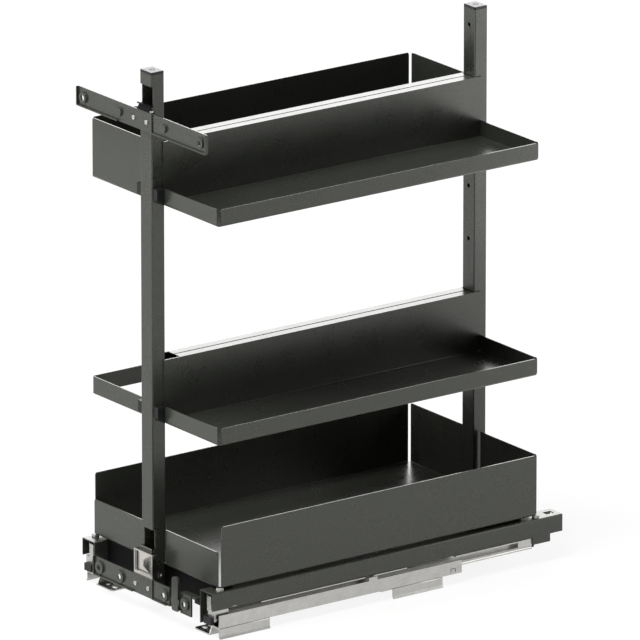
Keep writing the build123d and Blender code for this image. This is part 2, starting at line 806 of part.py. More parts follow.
                rect(s * (web_x + foot_sheet), s * (runner_half_width - tongue_reach),
                     tip, tip + along * tongue_width)
                fillet(tongue.vertices().group_by(Axis.X)[0 if s == 1 else -1],
                       radius=tongue_corner)
                hole_y = tip + along * foot_hole_setback
                with Locations((s * (runner_half_width - outer_hole_inset), hole_y)):
                    Circle(foot_hole_radius, mode=Mode.SUBTRACT)
                with Locations((s * (runner_half_width - inner_hole_inset), hole_y)):
                    SlotOverall(inner_slot_length, 2 * foot_hole_radius, mode=Mode.SUBTRACT)
            extrude(amount=foot_sheet)
        save(foot, f"{end}_foot_{side}")

    # rivets that join both feet to the fixed rail
    with BuildPart() as rivets:
        for y in rivet_depths:
            for z, radius, height in (
                    (fixed_z - foot_sheet - rivet_head_height, rivet_head_radius, rivet_head_height),
                    (fixed_z - foot_sheet, rivet_radius, foot_sheet + rail_sheet),
                    (fixed_z + rail_sheet, rivet_head_radius, rivet_head_height)):
                with BuildSketch(Plane.XY.offset(z)):
                    with Locations((s * rivet_x, y)):
                        Circle(radius)
                extrude(amount=height)
    save(rivets, f"foot_rivets_{side}")

    # plastic end cap and rear buffer on the middle rail
    cap_mid = (middle_bar_inner + middle_bar_outer) / 2
    with BuildPart() as ends:
        with BuildSketch(Plane.XY.offset(middle_bar_z - end_cap_drop)):
            rect(s * (cap_mid - end_cap_width / 2), s * (cap_mid + end_cap_width / 2),
                 middle_front - end_cap_length, middle_front)
        extrude(amount=end_cap_height)
        with BuildSketch(Plane.XY.offset(middle_bar_z + buffer_rise)):
            rect(s * (cap_mid - end_cap_width / 2), s * (cap_mid + end_cap_width / 2),
                 middle_rear, middle_rear + buffer_length)
        extrude(amount=buffer_height)
    save(ends, f"middle_end_caps_{side}")

# Clips that fill the corners between the front rims' ends and the post's sides
with BuildPart() as tray_clips:
    clip_tip = tray_front - front_clip_reach
    for level in (middle_z, upper_z):
        for x in (half_post, -half_post - wall_end_gap):
            with BuildSketch(facing_right(x)):
                with BuildLine():
                    Polyline((tray_front, level), (clip_tip, level + clip_tip_rise),
                             (clip_tip, level + rim_height), (tray_front, level + rim_height),
                             close=True)
                make_face()
            extrude(amount=wall_end_gap)
save(tray_clips, "tray_clips")

# Screws in the posts' right sides, which fix the posts' height
with BuildPart() as side_screws:
    for y in (post_front + post_depth / 2, rear_post_front + post_depth / 2):
        with BuildSketch(facing_right(half_post)):
            with Locations((y, side_screw_z)):
                Circle(side_head_radius)
        extrude(amount=side_head_height)
        with BuildSketch(facing_right(half_post)):
            with Locations((y, side_screw_z)):
                Circle(side_screw_radius)
        extrude(amount=-side_screw_length)
        with BuildSketch(facing_right(half_post + side_head_height)):
            with Locations((y, side_screw_z)):
                RegularPolygon(radius=side_head_radius * key_width, side_count=6)
        extrude(amount=-side_head_height * key_depth, mode=Mode.SUBTRACT)
save(side_screws, "post_side_screws")


def door_bar(length, height, z_mid, back, lips, turned_ends, screw_xs):
    """Bar whose right end is set back by a step, with lips turned towards the door.

    lips gives where the left lip of the lower edge ends and where the right one does, and
    turned_ends the outer ends whose edge is turned as well, -1 for left and 1 for right.
    """
    front = back - bracket_sheet
    stepped = front + joggle_depth
    low = z_mid - height / 2
    high = z_mid + height / 2
    half = length / 2
    spans = ((-half, lips[0], front), (joggle_x, lips[1], stepped))
    with BuildPart() as bar:
        with BuildSketch(facing_front(back)):
            rect(-half, joggle_x, low, high)
        extrude(amount=bracket_sheet)
        with BuildSketch(facing_front(stepped + bracket_sheet)):
            rect(joggle_x - bracket_sheet, half, low, high)
        extrude(amount=bracket_sheet)
        for x0, x1, y in spans:
            with BuildSketch(facing_right(x0)):
                rect(y - boss_rise, y + bracket_sheet, low, low + bracket_sheet)
            extrude(amount=x1 - x0)
        for end in turned_ends:
            with BuildSketch(facing_front(front if end < 0 else stepped)):
                rect(end * half, end * (half - bracket_sheet), low, high)
            extrude(amount=boss_rise)
        corners = bar.edges().filter_by(Axis.Y).group_by(Axis.X)
        fillet(corners[0] + corners[-1], radius=bar_corner)
        # outer side of the lower bend
        for x0, x1, y in spans:
            bend_y = y + bracket_sheet - bar_lip_bend
            with BuildSketch(facing_right(x0)):
                rect(bend_y, y + bracket_sheet, low, low + bar_lip_bend)
                with Locations((bend_y, low + bar_lip_bend)):
                    Circle(bar_lip_bend, mode=Mode.SUBTRACT)
            extrude(amount=x1 - x0, mode=Mode.SUBTRACT)
        with BuildSketch(facing_front(front)):
            for x in screw_xs:
                with Locations((x, z_mid)):
                    Circle(bracket_screw_radius + screw_clear)
        extrude(amount=-bracket_sheet, mode=Mode.SUBTRACT)
    return bar


def with_bosses(blank, back, z_mid, bosses):
    """Press round bosses out towards the door, and pierce those that take a screw."""
    with BuildPart() as pressed:
        add(blank.part)
        for x, radius, pierced in bosses:
            face = back - bracket_sheet + (0 if x < joggle_x else joggle_depth)
            with BuildSketch(facing_front(face)):
                with Locations((x, z_mid)):
                    Circle(radius)
            extrude(amount=boss_rise)
            with BuildSketch(facing_front(face + bracket_sheet)):
                with Locations((x, z_mid)):
                    Circle(radius - boss_wall)
            extrude(amount=boss_rise, mode=Mode.SUBTRACT)
            if pierced:
                with BuildSketch(facing_front(face + bracket_sheet)):
                    with Locations((x, z_mid)):
                        Circle(door_hole_radius)
                extrude(amount=bracket_sheet + boss_rise, mode=Mode.SUBTRACT)
    return pressed


def bracket_screws(name, face, z, xs, length):
    """Round-headed screws that hold a bar to the piece behind it."""
    with BuildPart() as screws:
        for x in xs:
            with BuildSketch(facing_front(face)):
                with Locations((x, z)):
                    Circle(bracket_head_radius)
            extrude(amount=bracket_head_height)
            with BuildSketch(facing_front(face)):
                with Locations((x, z)):
                    Circle(bracket_screw_radius)
            extrude(amount=-length)
            with BuildSketch(facing_front(face - bracket_head_height)):
                with Locations((x, z)):
                    Rectangle(cross_slot_length, cross_slot_width)
                    Rectangle(cross_slot_width, cross_slot_length)
            extrude(amount=-cross_slot_depth, mode=Mode.SUBTRACT)
    save(screws, name)


# Upper door bracket
upper_bar_back = post_front - hook_plate_depth
upper_bar_z = tray_z + upper_bar_rise
upper_screw_xs = [upper_screw_shift + side * bracket_screw_spacing / 2 for side in (-1, 1)]
upper_blank = door_bar(upper_bar_length, upper_bar_height, upper_bar_z, upper_bar_back,
                       (-upper_lip_start, upper_bar_length / 2), (-1, 1), upper_screw_xs)
upper_bosses = [(side * upper_hole_spacing / 2, upper_boss_radius, True) for side in (-1, 1)]
upper_bosses += [(side * blind_boss_spacing / 2, blind_boss_radius, False) for side in (-1, 1)]
upper_bracket = with_bosses(upper_blank, upper_bar_back, upper_bar_z, upper_bosses)
save(upper_bracket, "upper_door_bracket")
bracket_screws("upper_bracket_screws", upper_bar_back - bracket_sheet, upper_bar_z,
               upper_screw_xs, bracket_sheet + hook_plate_depth - thread_short)

# Hook plate between the upper bar and the post: its tongue hangs in the post's upper notch
hook_top = upper_bar_z + upper_bar_height / 2
hook_bottom = hook_top - hook_plate_height
tongue_z = upper_notch_top - notch_height
height_screw_y = post_front - hook_plate_depth / 2
with BuildPart() as upper_hook:
    with BuildSketch(facing_front(post_front)):
        rect(-hook_plate_width / 2, hook_plate_width / 2, hook_bottom, hook_top)
    extrude(amount=hook_plate_depth)
    # neck that slopes up from the plate's top to the tongue
    with BuildSketch(facing_right(-half_post)):
        with BuildLine():
            Polyline((upper_bar_back, hook_top - bracket_sheet), (upper_bar_back, hook_top),
                     (post_front, tongue_z + bracket_sheet), (post_front, hook_top - bracket_sheet),
                     close=True)
        make_face()
    extrude(amount=post_width)
    with BuildSketch(Plane.XY.offset(tongue_z)):
        rect(-half_post, half_post, post_front - bracket_sheet, post_front + notch_depth - cap_fit)
        rect(-hook_tongue_left, -half_post, post_front - hook_tongue_depth, post_front)
    extrude(amount=bracket_sheet)
    with BuildSketch(facing_front(upper_bar_back)):
        for x in upper_screw_xs:
            with Locations((x, upper_bar_z)):
                Circle(bracket_screw_radius + screw_clear)
    extrude(amount=-hook_plate_depth, mode=Mode.SUBTRACT)
    with BuildSketch(Plane.XY.offset(hook_top)):
        with Locations((height_screw_x, height_screw_y)):
            Circle(height_screw_radius + screw_clear)
    extrude(amount=-height_screw_length, mode=Mode.SUBTRACT)
save(upper_hook, "upper_hook_plate")

# Screw that sets the upper bracket's height, standing in the hook plate
with BuildPart() as height_screw:
    with BuildSketch(Plane.XY.offset(hook_top)):
        with Locations((height_screw_x, height_screw_y)):
            Circle(height_screw_head)
    extrude(amount=height_screw_rise)
    with BuildSketch(Plane.XY.offset(hook_top)):
        with Locations((height_screw_x, height_screw_y)):
            Circle(height_screw_radius)
    extrude(amount=-height_screw_length + thread_short)
    with BuildSketch(Plane.XY.offset(hook_top + height_screw_rise)):
        with Locations((height_screw_x, height_screw_y)):
            RegularPolygon(radius=height_screw_head * key_width, side_count=6)
    extrude(amount=-height_screw_rise * key_depth, mode=Mode.SUBTRACT)
save(height_screw, "height_screw")

# Die-cast block: a ribbed plate on a narrow hub, with its hook in the post's lower notch
lower_bar_back = post_front - block_depth
lower_bar_z = tray_z - lower_bar_drop
lower_screw_xs = [side * bracket_screw_spacing / 2 for side in (-1, 1)]
block_top = tray_z + block_top_rise
block_bottom = block_top - block_height
plate_back = lower_bar_back + block_plate
pocket_top = block_top - block_rim
pocket_low = pocket_top - block_pocket_height
pocket_mid = (pocket_low + pocket_top) / 2
half_pocket = block_width / 2 - block_rim
pocket_floor = lower_bar_back + block_pocket_depth
with BuildPart() as block:
    with BuildSketch(facing_front(plate_back)) as outline:
        rect(-block_width / 2, block_width / 2, block_bottom, block_top)
        fillet(outline.vertices(), radius=block_corner)
    extrude(amount=block_plate)
    with BuildSketch(facing_front(post_front)):
        rect(-half_post, half_post, block_bottom, block_top)
    extrude(amount=block_depth - block_plate)
    with BuildSketch(Plane.XY.offset(block_top - block_ledge)):
        rect(-block_width / 2, block_width / 2, plate_back, post_front)
    extrude(amount=block_ledge)
    with BuildSketch(facing_front(post_front)):
        rect(-half_post, half_post, block_top - block_ledge, lower_notch_bottom + block_ledge)
    extrude(amount=block_ledge)
    with BuildSketch(Plane.XY.offset(lower_notch_bottom)):
        rect(-half_post, half_post, post_front - block_ledge,
             post_front + notch_depth - cap_fit)
    extrude(amount=block_ledge)
    with BuildSketch(facing_front(lower_bar_back)):
        rect(-half_pocket, half_pocket, pocket_low, pocket_top)
    extrude(amount=-block_pocket_depth, mode=Mode.SUBTRACT)
    # a rib beside each rim, and a hipped ridge between the ribs
    half_ridge = half_pocket - block_groove - block_rib
    with BuildSketch(facing_front(pocket_floor)):
        for side in (-1, 1):
            rect(side * half_ridge, side * (half_ridge + block_rib), pocket_low, pocket_top)
    extrude(amount=block_pocket_depth)
    with BuildSketch(facing_front(pocket_floor)):
        rect(-half_ridge, half_ridge, pocket_low, pocket_top)
    with BuildSketch(facing_front(lower_bar_back + ridge_drop)):
        rect(-ridge_width / 2, ridge_width / 2, pocket_mid - ridge_height / 2,
             pocket_mid + ridge_height / 2)
    loft()
    with BuildSketch(facing_front(lower_bar_back)):
        for x in lower_screw_xs:
            with Locations((x, lower_bar_z)):
                Circle(bracket_screw_radius + screw_clear)
    extrude(amount=-block_plate, mode=Mode.SUBTRACT)
save(block, "adjuster_block")

# Lower door bracket: its end plate is a little taller, with a rim, and an arm to the runner
low_z = lower_bar_z - lower_bar_height / 2
high_z = lower_bar_z + lower_bar_height / 2
half_bar = lower_bar_length / 2
plate_left = half_bar - end_plate_width
recess_left = plate_left - lever_recess_width
plate_low = low_z - end_plate_rim
plate_high = high_z + end_plate_rim
arm_back = lower_bar_back + arm_reach
pivot_y = lower_bar_back - lever_gap - lever_thickness / 2
lever_low = tray_z + lever_top_rise - lever_height
pivot_z = lever_low + lever_pivot_rise
step_face = lower_bar_back - bracket_sheet + joggle_depth
step_back = step_face + bracket_sheet
lower_blank = door_bar(lower_bar_length, lower_bar_height, lower_bar_z, lower_bar_back,
                       (-lower_lip_start, recess_left - lower_lip_end_gap), (-1,),
                       lower_screw_xs)
with BuildPart() as lower_frame:
    add(lower_blank.part)
    # the lever's recess, set back by one more sheet
    with BuildSketch(facing_front(step_back)):
        rect(recess_left, plate_left, low_z, high_z)
    extrude(amount=bracket_sheet, mode=Mode.SUBTRACT)
    with BuildSketch(facing_front(step_back + bracket_sheet)):
        rect(recess_left - bracket_sheet, plate_left + bracket_sheet, low_z, high_z)
    extrude(amount=bracket_sheet)
    # end plate round the outer hole, and its raised rim
    with BuildSketch(facing_front(step_back)):
        rect(plate_left, half_bar, plate_low, plate_high)
    extrude(amount=bracket_sheet)
    with BuildSketch(facing_front(step_face)):
        rect(plate_left, half_bar, plate_low, plate_high)
        rect(plate_left + end_plate_rim, half_bar - end_plate_rim, plate_low + end_plate_rim,
             plate_high - end_plate_rim, mode=Mode.SUBTRACT)
    extrude(amount=rim_proud)
    # arm: a shelf behind the end plate, turned down against the runner
    with BuildSketch(Plane.XY.offset(plate_high - bracket_sheet)):
        rect(plate_left, cover_inner, step_face, arm_back)
    extrude(amount=bracket_sheet)
    with BuildSketch(facing_front(arm_back)):
        rect(cover_inner - arm_flange_width, cover_inner, plate_high - arm_flange_height,
             plate_high)
    extrude(amount=bracket_sheet)
    # ears that hold the lever's pin
    for x in (lever_x - lever_width / 2 - ear_clear - ear_sheet,
              lever_x + lever_width / 2 + ear_clear):
        with BuildSketch(facing_right(x)):
            rect(pivot_y - ear_nose, step_back + bracket_sheet, pivot_z - ear_height / 2,
                 pivot_z + ear_height / 2)
            with Locations((pivot_y, pivot_z)):
                Circle(pivot_radius, mode=Mode.SUBTRACT)
        extrude(amount=ear_sheet)
lower_bosses = [(side * spacing / 2, lower_boss_radius, True) for side in (-1, 1)
                for spacing in (lower_outer_spacing, lower_inner_spacing)]
lower_bracket = with_bosses(lower_frame, lower_bar_back, lower_bar_z, lower_bosses)
save(lower_bracket, "lower_door_bracket")
bracket_screws("lower_bracket_screws", lower_bar_back - bracket_sheet, lower_bar_z,
               lower_screw_xs, bracket_sheet + block_plate - thread_short)

# Release lever, which tips forward at its top round its pin
with BuildPart() as release_lever:
    with BuildSketch(facing_front(pivot_y + lever_thickness / 2)) as lever_face:
        rect(lever_x - lever_width / 2, lever_x + lever_width / 2, lever_low,
             lever_low + lever_height)
        fillet(lever_face.vertices().group_by(Axis.Y)[-1], radius=lever_top_round)
        fillet(lever_face.vertices().group_by(Axis.Y)[0], radius=lever_foot_round)
    extrude(amount=lever_thickness)
    with BuildSketch(facing_right(lever_x - lever_width / 2)):
        with Locations((pivot_y, pivot_z)):
            Circle(pivot_radius + pivot_clear)
    extrude(amount=lever_width, mode=Mode.SUBTRACT)
save(release_lever, "release_lever")

with BuildPart() as lever_pin:
    pin_half = lever_width / 2 + ear_clear + ear_sheet
    with BuildSketch(facing_right(lever_x - pin_half)):
        with Locations((pivot_y, pivot_z)):
            Circle(pivot_radius)
    extrude(amount=2 * pin_half)
save(lever_pin, "lever_pin")
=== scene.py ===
"""Looks of a pull-out rack for a 300 mm wide kitchen base cabinet.

Folded trays with an anthracite powder coat stand on two tube posts, over a pair of zinc-plated
ball runners. Every length in the code is in metres, and MM turns a length written in millimetres
into metres.
"""
import json
import math

import bpy
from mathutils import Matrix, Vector


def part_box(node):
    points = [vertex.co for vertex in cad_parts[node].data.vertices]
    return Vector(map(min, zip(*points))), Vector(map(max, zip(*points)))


bl_info = {
    "name": "Pull-out rack finish",
    "version": (1, 0, 0),
    "blender": (4, 5, 0),
    "location": "View3D > Sidebar > Rack",
    "description": "Finishes and a studio for a pull-out kitchen rack",
    "category": "Object",
}

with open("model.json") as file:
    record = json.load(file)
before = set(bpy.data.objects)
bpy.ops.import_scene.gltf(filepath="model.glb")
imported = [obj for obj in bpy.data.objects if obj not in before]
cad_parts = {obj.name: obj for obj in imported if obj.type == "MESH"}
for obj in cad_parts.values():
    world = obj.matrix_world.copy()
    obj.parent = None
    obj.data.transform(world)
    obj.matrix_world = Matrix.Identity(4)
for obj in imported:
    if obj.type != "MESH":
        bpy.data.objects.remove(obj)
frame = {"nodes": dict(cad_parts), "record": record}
MM = 0.001


def linear(code):
    """Linear colour with alpha 1 of an sRGB hex value such as #5E5E5B."""
    parts = [int(code[i:i + 2], 16) / 255 for i in (1, 3, 5)]
    return [c / 12.92 if c <= 0.04045 else ((c + 0.055) / 1.055) ** 2.4 for c in parts] + [1.0]


def add(tree, kind, inputs=None, **settings):
    """Add a shader node, with its settings and with values or links for its inputs."""
    made = tree.nodes.new(kind)
    for name, value in settings.items():
        setattr(made, name, value)
    for name, value in (inputs or {}).items():
        if isinstance(value, bpy.types.NodeSocket):
            tree.links.new(value, made.inputs[name])
        else:
            made.inputs[name].default_value = value
    return made


def new_material(name):
    """An empty node material and its tree."""
    made = bpy.data.materials.new(name)
    made.use_nodes = True
    made.node_tree.nodes.clear()
    return made, made.node_tree


def finish_with(tree, shader):
    """Send a shader to the material's surface."""
    output = tree.nodes.new("ShaderNodeOutputMaterial")
    tree.links.new(shader.outputs[0], output.inputs["Surface"])


class RackStage(bpy.types.PropertyGroup):
    """Camera, floor and lamps."""

    azimuth: bpy.props.FloatProperty(
        name="Camera azimuth", description="Turn of the camera round the rack from its front",
        default=math.radians(53.85), subtype="ANGLE", unit="ROTATION")
    elevation: bpy.props.FloatProperty(
        name="Camera elevation", description="Height angle of the camera over the horizon",
        default=math.radians(17.37), subtype="ANGLE", unit="ROTATION")
    distance: bpy.props.FloatProperty(
        name="Camera distance", description="From the camera to the point that it looks at",
        default=14.531, subtype="DISTANCE", unit="LENGTH")
    aim: bpy.props.FloatVectorProperty(
        name="Aim", description="Point that the camera looks at",
        default=(11.2 * MM, -7.95 * MM, 308.9 * MM), subtype="TRANSLATION", unit="LENGTH")
    lens: bpy.props.FloatProperty(
        name="Lens", description="Focal length of the camera, in millimetres",
        default=711.2, subtype="DISTANCE_CAMERA")
    floor_size: bpy.props.FloatProperty(
        name="Floor size", description="Side of the floor",
        default=60.0, subtype="DISTANCE", unit="LENGTH")
    floor_colour: bpy.props.FloatVectorProperty(
        name="Floor", description="Colour of the studio floor",
        size=4, min=0, max=1, default=linear("#F2F2F0"), subtype="COLOR")
    floor_seen: bpy.props.FloatProperty(
        name="Floor seen", description="Share of plain white in the floor that the camera sees",
        default=0.88)
    floor_mirrored: bpy.props.FloatProperty(
        name="Floor mirrored", description="Share of plain white in the floor that pieces mirror",
        default=0.68)
    floor_drop: bpy.props.FloatProperty(
        name="Floor drop", description="Depth of the floor under the feet",
        default=0.2 * MM, subtype="DISTANCE", unit="LENGTH")
    flag_drop: bpy.props.FloatProperty(
        name="Flag drop", description="Depth of the black cloth under the feet",
        default=0.1 * MM, subtype="DISTANCE", unit="LENGTH")
    flag: bpy.props.FloatVectorProperty(
        name="Black flag", description="Left, right, near and far edge of the cloth on the floor "
        "that only reflections see", size=4, default=(-0.12, 0.35, -0.95, -0.335), unit="LENGTH")
    fill: bpy.props.FloatProperty(
        name="Fill", description="Strength of the even light from the whole sky", default=0.1)
    ceiling: bpy.props.FloatProperty(
        name="Ceiling", description="Brightness of the ceiling in reflections, 1 at the horizon",
        default=0.2)
    back: bpy.props.FloatProperty(
        name="Back softbox", description="Strength of the broad light from behind",
        default=2.0)
    top: bpy.props.FloatProperty(
        name="Top softbox", description="Strength of the broad light from above", default=4.4)
    key: bpy.props.FloatProperty(
        name="Key softbox", description="Strength of the broad light from the front left",
        default=0.9)
    side: bpy.props.FloatProperty(
        name="Side lamp", description="Power of the lamp at the right of the rear, in watts",
        default=2.4)


class RackFinish(bpy.types.PropertyGroup):
    """Colours and sizes of the finishes."""

    coat: bpy.props.FloatVectorProperty(
        name="Powder coat", description="Anthracite coat of the trays, posts and covers",
        size=4, min=0, max=1, default=linear("#2B2D28"), subtype="COLOR")
    strip: bpy.props.FloatVectorProperty(
        name="Zinc-plated strip", description="Rolled strip of the runners and their feet",
        size=4, min=0, max=1, default=linear("#B4B3B0"), subtype="COLOR")
    casting: bpy.props.FloatVectorProperty(
        name="Cast zinc", description="Bare die-cast zinc of the adjuster block",
        size=4, min=0, max=1, default=linear("#B9B7B2"), subtype="COLOR")
    plating: bpy.props.FloatVectorProperty(
        name="Bright zinc", description="Bright zinc plating of screws, bolts and rivets",
        size=4, min=0, max=1, default=linear("#CFCEC9"), subtype="COLOR")
    black: bpy.props.FloatVectorProperty(
        name="Black plastic", description="Moulded black caps, clips and buffers",
        size=4, min=0, max=1, default=linear("#101010"), subtype="COLOR")
    dip: bpy.props.FloatVectorProperty(
        name="Dip coat", description="Black electro-dip coat of hook plate, links and cross members",
        size=4, min=0, max=1, default=linear("#070707"), subtype="COLOR")
    cage: bpy.props.FloatVectorProperty(
        name="Cage steel", description="Oiled cold-rolled steel of the ball cages",
        size=4, min=0, max=1, default=linear("#B4B4B2"), subtype="COLOR")
    ball: bpy.props.FloatVectorProperty(
        name="Ball steel", description="Polished bearing steel of the balls",
        size=4, min=0, max=1, default=linear("#E6E6E6"), subtype="COLOR")
    pad: bpy.props.FloatVectorProperty(
        name="Pad plastic", description="Natural polyethylene of the pads under the tray",
        size=4, min=0, max=1, default=linear("#A3A29C"), subtype="COLOR")
    # Height of the top band of the adjuster block, the tongue in the post, whose colour is darkened
    # as painted shade.
    tongue: bpy.props.FloatProperty(
        name="Block's tongue", description="Height of the adjuster block's dull upper tongue",
        default=4.8 * MM, subtype="DISTANCE", unit="LENGTH")
    edge: bpy.props.FloatProperty(
        name="Edge", description="Rounding of sheared and sawn edges under their coat",
        default=0.3 * MM, subtype="DISTANCE", unit="LENGTH")
    grain: bpy.props.FloatProperty(
        name="Coat grain", description="Size of the powder coat's grains",
        default=1.2 * MM, subtype="DISTANCE", unit="LENGTH")


def noise(tree, size, along=(1, 1, 1), detail=3.0, rough=0.5):
    """Noise whose lumps measure size, drawn out along each axis by the factors in along."""
    place = add(tree, "ShaderNodeTexCoord")
    scaled = add(tree, "ShaderNodeMapping",
                 {"Vector": place.outputs["Object"], "Scale": [1 / a for a in along]})
    return add(tree, "ShaderNodeTexNoise",
               {"Vector": scaled.outputs["Vector"], "Scale": 1 / size, "Detail": detail,
                "Roughness": rough}).outputs["Fac"]


def between(tree, factor, low, high, start=0.3, end=0.7):
    """A number that goes from low to high while the factor goes from start to end."""
    return add(tree, "ShaderNodeMapRange",
               {"Value": factor, "From Min": start, "From Max": end,
                "To Min": low, "To Max": high}).outputs["Result"]


def tinted(tree, factor, colour, low, high):
    """The colour with its brightness taken from low to high times itself by the factor."""
    value = between(tree, factor, low, high)
    return add(tree, "ShaderNodeMix",
               {"Factor": 1.0, "A": colour, "B": value},
               data_type="RGBA", blend_type="MULTIPLY").outputs["Result"]


def bumped(tree, height, depth, strength=1.0):
    """The surface's normal after a relief as deep as depth."""
    return add(tree, "ShaderNodeBump",
               {"Height": height, "Strength": strength, "Distance": depth}).outputs["Normal"]


def powder_coat():
    """Anthracite fine-texture powder coat, cured on steel.

    The cured powder leaves a tight sandy grain, which breaks a soft gloss into fine speckles. Its
    real grains are 0.2 to 0.4 mm wide and are drawn coarser, so that they show.
    """
    made, tree = new_material("fine_texture_powder_coat")
    finish = bpy.context.scene.rack_finish
    grain = noise(tree, finish.grain, detail=1.0)
    cloud = noise(tree, 45 * MM, detail=2.0)
    shader = add(tree, "ShaderNodeBsdfPrincipled",
                 {"Base Color": tinted(tree, grain, finish.coat, 0.5, 1.55),
                  "Roughness": between(tree, cloud, 0.26, 0.31), "IOR": 1.53,
                  "Specular Tint": (0.98, 1.0, 0.94, 1.0),
                  "Normal": bumped(tree, grain, 0.04 * MM, 0.5)})
    finish_with(tree, shader)
    return made


def rolled_zinc():
    """Zinc-plated rolled strip: pale grey metal with faint streaks along the rail."""
    made, tree = new_material("zinc_plated_rolled_strip")
    finish = bpy.context.scene.rack_finish
    streak = noise(tree, 0.8 * MM, along=(1, 60, 1), detail=2.0)
    cloud = noise(tree, 9 * MM, detail=2.0)
    shader = add(tree, "ShaderNodeBsdfPrincipled",
                 {"Base Color": tinted(tree, cloud, finish.strip, 0.92, 1.04), "Metallic": 1.0,
                  "Roughness": between(tree, streak, 0.24, 0.34),
                  "Normal": bumped(tree, streak, 0.01 * MM, 0.5)})
    finish_with(tree, shader)
    return made


def cold_rolled_steel():
    """Oiled cold-rolled steel of the ball cages: darker grey metal, lightly clouded."""
    made, tree = new_material("cold_rolled_steel")
    finish = bpy.context.scene.rack_finish
    cloud = noise(tree, 3 * MM, detail=3.0)
    shader = add(tree, "ShaderNodeBsdfPrincipled",
                 {"Base Color": tinted(tree, cloud, finish.cage, 0.85, 1.1),
                  "Metallic": 1.0, "Roughness": between(tree, cloud, 0.30, 0.42)})
    finish_with(tree, shader)
    return made


def ground_balls():
    """Ground and polished bearing steel: small bright mirrors."""
    made, tree = new_material("polished_bearing_steel")
    finish = bpy.context.scene.rack_finish
    haze = noise(tree, 1.5 * MM)
    shader = add(tree, "ShaderNodeBsdfPrincipled",
                 {"Base Color": finish.ball, "Metallic": 1.0,
                  "Roughness": between(tree, haze, 0.05, 0.12)})
    finish_with(tree, shader)
    return made


def cast_zinc():
    """Bare zinc, die-cast: bright, slightly mottled metal, with painted shade darkening the upper
    tongue that sits in the post.
    """
    made, tree = new_material("die_cast_zinc")
    finish = bpy.context.scene.rack_finish
    skin = noise(tree, 1.6 * MM, detail=4.0)
    place = add(tree, "ShaderNodeTexCoord")
    height = add(tree, "ShaderNodeSeparateXYZ", {"Vector": place.outputs["Object"]})
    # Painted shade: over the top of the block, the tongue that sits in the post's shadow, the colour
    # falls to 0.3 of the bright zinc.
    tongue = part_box("adjuster_block")[1][2] - finish.tongue
    painted_shade = between(tree, height.outputs["Z"], 1.0, 0.3, tongue, tongue + 0.3 * MM)
    bright = tinted(tree, skin, finish.casting, 0.9, 1.04)
    colour = add(tree, "ShaderNodeMix", {"Factor": 1.0, "A": bright, "B": painted_shade},
                 data_type="RGBA", blend_type="MULTIPLY").outputs["Result"]
    shader = add(tree, "ShaderNodeBsdfPrincipled",
                 {"Base Color": colour, "Metallic": 1.0,
                  "Roughness": between(tree, skin, 0.12, 0.20),
                  "Normal": bumped(tree, skin, 0.03 * MM, 0.5)})
    finish_with(tree, shader)
    return made


def bright_zinc():
    """Bright zinc plating on turned and headed fasteners: clear metal with a faint haze."""
    made, tree = new_material("bright_zinc_plating")
    finish = bpy.context.scene.rack_finish
    haze = noise(tree, 1.2 * MM)
    shader = add(tree, "ShaderNodeBsdfPrincipled",
                 {"Base Color": tinted(tree, haze, finish.plating, 0.9, 1.03), "Metallic": 1.0,
                  "Roughness": between(tree, haze, 0.18, 0.28)})
    finish_with(tree, shader)
    return made


def black_polyamide():
    """Black polyamide, moulded in a spark-eroded tool: nearly black with a satin, pitted skin."""
    made, tree = new_material("black_polyamide")
    finish = bpy.context.scene.rack_finish
    pits = noise(tree, 0.8 * MM, detail=2.0)
    shader = add(tree, "ShaderNodeBsdfPrincipled",
                 {"Base Color": tinted(tree, pits, finish.black, 0.8, 1.2),
                  "Roughness": between(tree, pits, 0.42, 0.55), "IOR": 1.53,
                  "Specular IOR Level": 0.25,
                  "Normal": bumped(tree, pits, 0.03 * MM, 0.4)})
    finish_with(tree, shader)
    return made


def black_dip_coat():
    """Black electro-dip coat on steel: a thin, even, satin black film."""
    made, tree = new_material("black_dip_coat")
    finish = bpy.context.scene.rack_finish
    cloud = noise(tree, 6 * MM, detail=2.0)
    shader = add(tree, "ShaderNodeBsdfPrincipled",
                 {"Base Color": tinted(tree, cloud, finish.dip, 0.8, 1.2),
                  "Roughness": between(tree, cloud, 0.55, 0.65), "IOR": 1.5,
                  "Specular IOR Level": 0.1})
    finish_with(tree, shader)
    return made


def moulded_cap():
    """Black ABS, moulded in a polished tool: a smooth satin black, slightly clouded by the flow."""
    made, tree = new_material("moulded_black_abs")
    finish = bpy.context.scene.rack_finish
    skin = noise(tree, 0.9 * MM, detail=2.0)
    shader = add(tree, "ShaderNodeBsdfPrincipled",
                 {"Base Color": tinted(tree, skin, finish.black, 0.9, 1.1),
                  "Roughness": between(tree, skin, 0.30, 0.36), "IOR": 1.54,
                  "Specular IOR Level": 0.28,
                  "Normal": bumped(tree, skin, 0.01 * MM, 0.3)})
    finish_with(tree, shader)
    return made


def pad_polyethylene():
    """Natural polyethylene, moulded: waxy off-white that lets a little light in."""
    made, tree = new_material("natural_polyethylene")
    finish = bpy.context.scene.rack_finish
    cloud = noise(tree, 2 * MM, detail=2.0)
    shader = add(tree, "ShaderNodeBsdfPrincipled",
                 {"Base Color": tinted(tree, cloud, finish.pad, 0.92, 1.05),
                  "Roughness": between(tree, cloud, 0.40, 0.50), "IOR": 1.51,
                  "Subsurface Weight": 0.1, "Subsurface Radius": (1 * MM, 1 * MM, 1 * MM)})
    finish_with(tree, shader)
    return made


# The maker of each material, by the record's slot.
MAKERS = {
    "powder_coated_steel": powder_coat,
    "black_coated_steel": black_dip_coat,
    "cap_plastic": moulded_cap,
    "black_plastic": black_polyamide,
    "pad_plastic": pad_polyethylene,
    "die_cast_zinc": cast_zinc,
    "galvanised_steel": rolled_zinc,
    "cage_steel": cold_rolled_steel,
    "bearing_steel": ground_balls,
    "zinc_plated_steel": bright_zinc,
}


